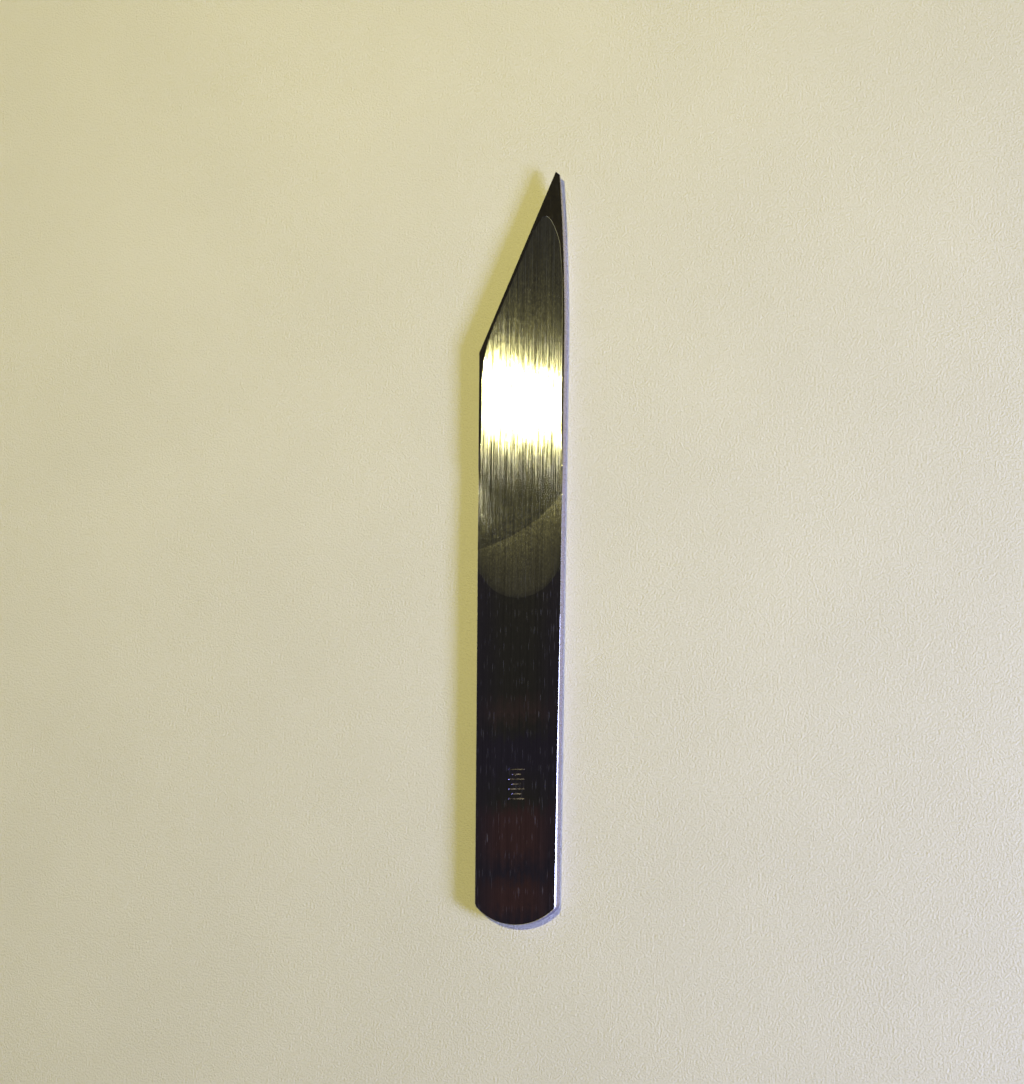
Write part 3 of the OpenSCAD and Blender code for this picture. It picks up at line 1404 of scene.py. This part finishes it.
@dataclass(frozen=True)
class Paper:
    """A plain cream sheet with a faint tooth, with its sizes in metres.

    Waves are waves per millimetre, and the weights say how strong tooth and cloud are.
    """

    colour: Triple = (0.71, 0.71, 0.67)
    darker: float = 0.9
    lighter: float = 1.08
    tone_range: tuple[float, float] = (0.2, 0.8)
    tooth_waves: float = 1.9
    cloud_waves: float = 0.02
    weights: tuple[float, float] = (0.4, 0.25)
    size: float = 6.0
    cuts: int = 8
    gap: float = 0.00002
    tooth_depth: float = 0.0005
    tooth_strength: float = 0.8
    roughness: float = 0.9
    shine: float = 0.15

    def build(self) -> bpy.types.Object:
        """Lays the sheet under the knife.

        Returns:
            The sheet.
        """
        bpy.ops.mesh.primitive_grid_add(
            x_subdivisions=self.cuts, y_subdivisions=self.cuts, size=self.size
        )
        sheet = bpy.context.object
        sheet.name = "paper"
        sheet.location.z = -self.gap
        sheet.data.materials.append(self.material())
        sheet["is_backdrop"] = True
        return sheet

    def material(self) -> bpy.types.Material:
        """Builds the material.

        Returns:
            The material.
        """
        made = bpy.data.materials.new("paper")
        made.use_nodes = True
        g = Graph(made.node_tree)
        tooth = g.noise((self.tooth_waves,) * 3, 3.0, 0.6)
        cloud = g.noise((self.cloud_waves,) * 3)
        by_tooth, by_cloud = self.weights
        tone = (tooth - MIDDLE) * by_tooth + (cloud - MIDDLE) * by_cloud + MIDDLE
        darker = (*(c * self.darker for c in self.colour), 1.0)
        lighter = (*(c * self.lighter for c in self.colour), 1.0)
        bump = {"Strength": self.tooth_strength, "Distance": self.tooth_depth, "Height": tooth}
        sockets = {
            "Base Color": g.mix(tone.between(*self.tone_range), darker, lighter),
            "Roughness": self.roughness,
            "Normal": g.add("ShaderNodeBump", None, bump),
            "Specular IOR Level": self.shine,
        }
        shader = g.add("ShaderNodeBsdfPrincipled", None, sockets)
        g.add("ShaderNodeOutputMaterial", None, {"Surface": shader})
        return made


class IronFinish(IntEnum):
    """The iron's finishes, in the order of its material slots."""

    HOLLOW = 0
    TANG = 1
    SIDES = 2
    BEVEL = 3
    FACE = 4
    STROKES = 5
    EASED = 6


class SteelFinish(IntEnum):
    """The steel's finishes, in the order of its material slots."""

    HOLLOW = 0
    RIM = 1
    SIDES = 2
    BEVEL = 3
    LIP = 4


# Painted reflections on the tang: faint reddish and bluish bands, and a bluish cast aside, for the
# surroundings mirrored in its steel
REFLECTED_PLAIN, REFLECTED_RUDDY, REFLECTED_BLUISH = (0.52, 0.54, 0.56), (1.0, 0.60, 0.70), (0.48, 0.46, 0.76)
PAINTED_REFLECTION_BANDS = ReflectionBands(
    (
        (-100.0, REFLECTED_BLUISH), (-95.0, REFLECTED_RUDDY), (-91.0, REFLECTED_RUDDY), (-87.0, REFLECTED_BLUISH), (-81.0, REFLECTED_RUDDY),
        (-73.0, REFLECTED_RUDDY), (-69.0, REFLECTED_PLAIN), (-60.0, REFLECTED_BLUISH), (-54.0, REFLECTED_BLUISH), (-50.0, REFLECTED_PLAIN),
        (-46.0, (0.86, 0.66, 0.72)), (-41.0, REFLECTED_PLAIN),
    ),
    aside=REFLECTED_BLUISH,
)
IRON_FINISHES = {
    IronFinish.HOLLOW: Ground(
        "iron_hollow", grey(0.66, -0.04), grey(0.42, -0.03), 0.10, 1.0, Grain.LENGTHWISE,
        contrast=0.7, grooves=0.09, mottle=0.5, scratches=0.3, haze=0.18,
        fade=Fade(0.0, -4.6, 12.0),
    ),
    IronFinish.TANG: Ground(
        "iron_tang", grey(0.94), grey(0.66), 0.09, 1.0, Grain.LENGTHWISE,
        contrast=0.8, grooves=0.015, mottle=0.3, scratches=0.7, reflection_bands=PAINTED_REFLECTION_BANDS,
    ),
    # The walls' lilac cast is a painted reflection of the cool window light
    IronFinish.SIDES: Ground(
        "iron_sides", (0.47, 0.44, 0.66, 1.0), (0.37, 0.35, 0.52, 1.0), 0.28, 0.5, Grain.UPRIGHT,
        contrast=0.4, grooves=0.006, mottle=0.3, scratches=0.3,
    ),
    IronFinish.BEVEL: Ground(
        "iron_bevel", grey(0.60, 0.03), grey(0.44, 0.04), 0.36, 0.0, Grain.CLOUDY,
        contrast=0.5, grooves=0.01, mottle=0.5, scratches=0.2,
    ),
    IronFinish.FACE: Ground(
        "iron_face", grey(0.55, 0.02), grey(0.36, 0.03), 0.26, 0.6, Grain.LENGTHWISE,
        contrast=0.5, grooves=0.02, mottle=0.4, scratches=0.5,
    ),
    # The strokes' bluish cast is a painted reflection of cool light, set against the warm lamp so
    # that they show silver
    IronFinish.STROKES: Ground(
        "iron_strokes", (0.48, 0.46, 0.68, 1.0), (0.16, 0.15, 0.22, 1.0), 0.22, 0.0, Grain.CLOUDY,
        contrast=0.9, grooves=0.03, mottle=0.8, scratches=0.2,
    ),
    IronFinish.EASED: Ground(
        "iron_eased", grey(0.72, -0.02), grey(0.64), 0.40, 0.8, Grain.LENGTHWISE,
        contrast=0.3, grooves=0.0005, mottle=0.2, scratches=0.2, turn=0.25,
    ),
}
STEEL_FINISHES = {
    SteelFinish.HOLLOW: Ground(
        "steel_hollow", grey(0.62, -0.05), grey(0.39, -0.04), 0.083, 1.0, Grain.LENGTHWISE,
        contrast=0.6, grooves=0.11, mottle=0.4, scratches=0.2, haze=0.056,
    ),
    # The honed rim is near-mirror steel; its darker grey is painted shade for the dark surroundings
    # it mirrors
    SteelFinish.RIM: Ground(
        "steel_rim", grey(0.38, 0.03), grey(0.29, 0.04), 0.07, 0.3, Grain.LENGTHWISE,
        contrast=0.3, grooves=0.0005, mottle=0.2, scratches=0.3,
    ),
    # The walls' lilac cast is a painted reflection of the cool window light, and their darker grey
    # is painted shade
    SteelFinish.SIDES: Ground(
        "steel_sides", (0.42, 0.39, 0.46, 1.0), (0.33, 0.31, 0.36, 1.0), 0.26, 0.5, Grain.UPRIGHT,
        contrast=0.4, grooves=0.006, mottle=0.3, scratches=0.3,
    ),
    SteelFinish.BEVEL: Ground(
        "steel_bevel", grey(0.66), grey(0.56), 0.12, 0.3, Grain.CROSSWISE,
        contrast=0.3, grooves=0.001, mottle=0.2, scratches=0.2,
    ),
    # A rough honed lip on the spine's side only, whose lighter grey is a painted highlight along
    # that side of the hollow's edge
    SteelFinish.LIP: Ground(
        "steel_lip", grey(0.80), grey(0.62), 0.70, 0.0, Grain.LENGTHWISE,
        contrast=0.6, grooves=0.002, mottle=0.5, scratches=0.4, haze=0.9,
    ),
}


# The two metals


@dataclass
class Piece:
    """One of the two forge-welded metals, whose faces lie flat from a normal's upward share on."""

    lamination: Lamination
    node: str
    slot: str
    lying: float = 0.5

    def dress(self, made: bpy.types.Object, finishes: Iterable[Ground]) -> bpy.types.Object:
        """Dresses a built piece, and puts it in place of its CAD node.

        Args:
            made: The piece.
            finishes: Its finishes, in the order of their numbers.

        Returns:
            The piece.
        """
        for finish in finishes:
            made.data.materials.append(finish.material())
        layer = made.data.uv_layers.new(name=UV_LAYER)
        for polygon in made.data.polygons:
            flat = abs(polygon.normal.z) > self.lying
            for loop in polygon.loop_indices:
                co = made.data.vertices[made.data.loops[loop].vertex_index].co
                layer.data[loop].uv = (co.x, co.y) if flat else (co.z, co.x + co.y)
        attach(made, "root")
        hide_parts(self.node)
        return made


@dataclass
class IronBody(Piece):
    """The soft iron: the tang, the hollow's rear end and the body under the steel.

    Its fine filling places start some millimetres behind the hollow's arc.
    """

    node: str = "iron_body"
    slot: str = "iron"
    strokes: Strokes = Strokes()
    behind_arc: float = 1.0

    def build(self) -> bpy.types.Object:
        """Builds and dresses the iron body.

        Returns:
            The piece.
        """
        lam, blank = self.lamination, self.lamination.blank
        seam = lam.seam()
        left_y, right_y = seam[0][1], seam[-1][1]

        def covers(x: float, y: float) -> tuple[bool, bool]:
            """Tells that the steel lies on the back's edge ahead of the seam."""
            return y > (left_y if x < 0 else right_y) + TINY, False

        slab = Slab("iron_body_ground", self.top, blank.under)
        stations = lam.stations("weld_left", "weld_right", covers)
        weld = lam.across("weld")[::-1]
        stations += [Station(place, np.zeros(2), thin=True) for place in weld]
        upper, lower = slab.skin(stations)
        lines = [seam[1:-1], lam.rear_arc(), *self.strokes.rings(blank)]
        rear = blank.hollow_ends[0] - self.behind_arc
        places = [
            lam.fill(rear, right_y, lam.fine),
            lam.fill(right_y, blank.point_y, lam.coarse),
            lam.fill(-blank.point_y, rear - lam.fine, lam.coarse),
        ]
        slab.patch(upper, lines, np.concatenate(places), Side.BACK)
        slab.patch(lower, [lam.across("ridge")], np.zeros((0, 2)), Side.UNDER)
        return self.dress(slab.build(self.finish_of), IRON_FINISHES.values())

    def top(self, x: np.ndarray, y: np.ndarray) -> np.ndarray:
        """The height of the iron's upper face: the back with the strokes, or the weld.

        Args:
            x: The places across the knife.
            y: The places along it.

        Returns:
            The heights.
        """
        blank = self.lamination.blank
        shown = blank.back(x, y) - self.strokes.sunk(blank, x, y)
        return np.minimum(shown, np.maximum(blank.seat(x, y), blank.under(x, y)))

    def finish_of(self, kind: Side, x: float, y: float) -> IronFinish:
        """The finish of a face.

        Args:
            kind: The part of the skin that it belongs to.
            x: Its middle across the knife.
            y: Its middle along it.

        Returns:
            The finish.
        """
        blank = self.lamination.blank
        if kind is Side.WALL:
            return IronFinish.SIDES
        if kind is Side.EASED:
            return IronFinish.EASED
        if kind is Side.UNDER:
            return IronFinish.BEVEL if blank.bevel(x, y) > 0 else IronFinish.FACE
        if self.strokes.sunk(blank, x, y) > 0:
            return IronFinish.STROKES
        return IronFinish.HOLLOW if blank.hollow(x, y) > 0 else IronFinish.TANG


@dataclass
class SteelEdge(Piece):
    """The hard steel: the cutting edge and most of the hollow back.

    Filling places on its underside reach some millimetres past the end of the seam.
    """

    node: str = "steel_edge"
    slot: str = "steel"
    past_scarf: float = 10.0

    def build(self) -> bpy.types.Object:
        """Builds and dresses the steel.

        Returns:
            The piece.
        """
        lam, blank = self.lamination, self.lamination.blank
        seam = lam.seam()
        left_y = lam.outline.place("weld_left")[1]
        right_y = lam.outline.place("weld_right")[1]

        def covers(x: float, y: float) -> tuple[bool, bool]:
            """Tells that the underside's edge lies on the iron behind the weld's end."""
            return False, y < (left_y if x < 0 else right_y) + TINY

        slab = Slab("steel_edge_ground", blank.back, self.bottom)
        stations = lam.stations("seam_right", "seam_left", covers)
        stations += [Station(place, np.zeros(2), thin=True) for place in seam[1:-1]]
        upper, lower = slab.skin(stations)
        back = lam.fill(seam[0][1], blank.point_y, lam.fine)
        slab.patch(upper, [lam.rims(), lam.rims(blank.shoulder)], back, Side.BACK)
        scarf = lam.fill(seam[0][1], seam[-1][1] + self.past_scarf, lam.medium)
        slab.patch(lower, [lam.across("weld")], scarf, Side.UNDER)
        return self.dress(slab.build(self.finish_of), STEEL_FINISHES.values())

    def bottom(self, x: np.ndarray, y: np.ndarray) -> np.ndarray:
        """The height of the steel's lower face: the weld, or the bevel ahead of it.

        Args:
            x: The places across the knife.
            y: The places along it.

        Returns:
            The heights, which are no higher than the back.
        """
        blank = self.lamination.blank
        low = np.maximum(blank.seat(x, y), blank.bevel(x, y))
        return np.minimum(low, blank.back(x, y))

    def finish_of(self, kind: Side, x: float, y: float) -> SteelFinish:
        """The finish of a face.

        Args:
            kind: The part of the skin that it belongs to.
            x: Its middle across the knife.
            y: Its middle along it.

        Returns:
            The finish.
        """
        blank = self.lamination.blank
        if kind in (Side.WALL, Side.EASED):
            return SteelFinish.SIDES
        if kind is Side.UNDER:
            return SteelFinish.BEVEL
        if not blank.honed(x, y):
            return SteelFinish.HOLLOW
        # The lip, with its painted highlight, lies only on the spine's side and the nose's right
        on_lip = x > blank.nose_aside or (x > 0 and y < blank.heel_y)
        return SteelFinish.LIP if on_lip and blank.hollow(x, y) > 0 else SteelFinish.RIM


# The studio


@dataclass(frozen=True)
class Lamp:
    """A soft area lamp that looks at the knife, in metres, watts and degrees."""

    name: str
    place: Triple
    aim: Triple
    size: tuple[float, float]
    colour: Triple
    power: float
    spread: float = 84.0

    def build(self) -> bpy.types.Object:
        """Hangs the lamp.

        Returns:
            The lamp.
        """
        data = bpy.data.lights.new(self.name, "AREA")
        data.shape, data.size, data.size_y = "RECTANGLE", *self.size
        data.color, data.energy = self.colour, self.power
        data.spread = math.radians(self.spread)
        lamp = bpy.data.objects.new(self.name, data)
        lamp.location = self.place
        toward = Vector(self.aim) - Vector(self.place)
        lamp.rotation_euler = toward.to_track_quat("-Z", "Y").to_euler()
        bpy.context.scene.collection.objects.link(lamp)
        return lamp


@dataclass(frozen=True)
class Studio:
    """The paper, the lamps and the surrounding light.

    The sky goes by height, from 0 at the horizon to 1 overhead: from the horizon's colour
    through a dimmer share of it to the zenith's colour.
    """

    lamps: tuple[Lamp, ...] = (
        Lamp(
            "warm_overhead", (-0.08, 0.417, 1.5), (-0.02, 0.15, 0.0), (0.08, 0.052),
            (1.0, 0.87, 0.27), 3.35,
        ),
        Lamp(
            "window", (0.83, -0.29, 0.37), (0.02, 0.0, 0.0), (0.24, 0.20),
            (0.54, 0.58, 0.98), 2.6,
        ),
        Lamp(
            "ceiling_glow", (-0.08, 0.417, 1.52), (-0.02, 0.15, 0.0), (0.25, 0.11),
            (0.90, 0.84, 0.80), 0.05,
        ),
    )
    horizon: Triple = (0.26, 0.26, 0.25)
    zenith: Triple = (0.032, 0.0285, 0.0235)
    dim_height: float = 0.35
    dim_share: float = 0.7
    zenith_height: float = 0.8

    def build(self) -> None:
        """Sets up the paper, the lamps and the world."""
        Paper().build()
        for lamp in self.lamps:
            lamp.build()
        world = bpy.data.worlds.new("studio")
        bpy.context.scene.world = world
        world.use_nodes = True
        g = Graph(world.node_tree)
        way = g.add("ShaderNodeTexCoord", None, None, "Generated")
        height = g.add("ShaderNodeSeparateXYZ", None, {0: way}, "Z")
        dim = scaled(self.horizon, (self.dim_share,) * 3)
        stops = [
            (0.0, self.horizon),
            (self.dim_height, dim),
            (self.zenith_height, self.zenith),
            (1.0, self.zenith),
        ]
        sky = g.add("ShaderNodeValToRGB", {"stops": stops}, {0: height})
        light = g.add("ShaderNodeBackground", None, {"Color": sky, "Strength": 1.0})
        g.add("ShaderNodeOutputWorld", None, {"Surface": light})


@dataclass(frozen=True)
class PhotoCamera:
    """The photograph's viewpoint, in metres, with its lens and sensor in millimetres."""

    place: Triple = (0.16389, -0.09366, 0.49027)
    aim: Triple = (-0.003246, -0.000457, 0.0)
    upward: Triple = (-0.0126, 0.99992, 0.0)
    lens: float = 66.02
    sensor: float = 36.0
    nearest: float = 0.01
    farthest: float = 50.0

    def build(self) -> bpy.types.Object:
        """Sets up the camera.

        Returns:
            The camera.
        """
        data = bpy.data.cameras.new("camera")
        data.lens, data.sensor_width, data.sensor_fit = self.lens, self.sensor, "AUTO"
        data.clip_start, data.clip_end = self.nearest, self.farthest
        camera = bpy.data.objects.new("camera", data)
        ahead = (Vector(self.aim) - Vector(self.place)).normalized()
        right = ahead.cross(Vector(self.upward)).normalized()
        up = right.cross(ahead)
        turn = Matrix((right, up, -ahead)).transposed().to_4x4()
        camera.matrix_world = Matrix.Translation(self.place) @ turn
        bpy.context.scene.collection.objects.link(camera)
        bpy.context.scene.camera = camera
        return camera


def main() -> None:
    """Builds the knife, the studio and the camera, in order."""
    logging.basicConfig(level=logging.INFO, format="%(name)s: %(message)s")
    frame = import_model()
    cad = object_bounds()
    low, high = (Vector(c) / MM for c in cad)
    blank = Blank(high.y - low.y, high.x - low.x, high.z - low.z)
    lamination = Lamination(blank, Outline.of(blank, STATION_STEP))
    for piece in (IronBody(lamination), SteelEdge(lamination)):
        made = piece.build()
        log.info("%s stands for %s of %d nodes", made.name, piece.node, len(frame["nodes"]))
    Studio().build()
    PhotoCamera().build()
    bpy.context.scene.view_settings.view_transform = "Standard"


if __name__ == "__main__":
    main()
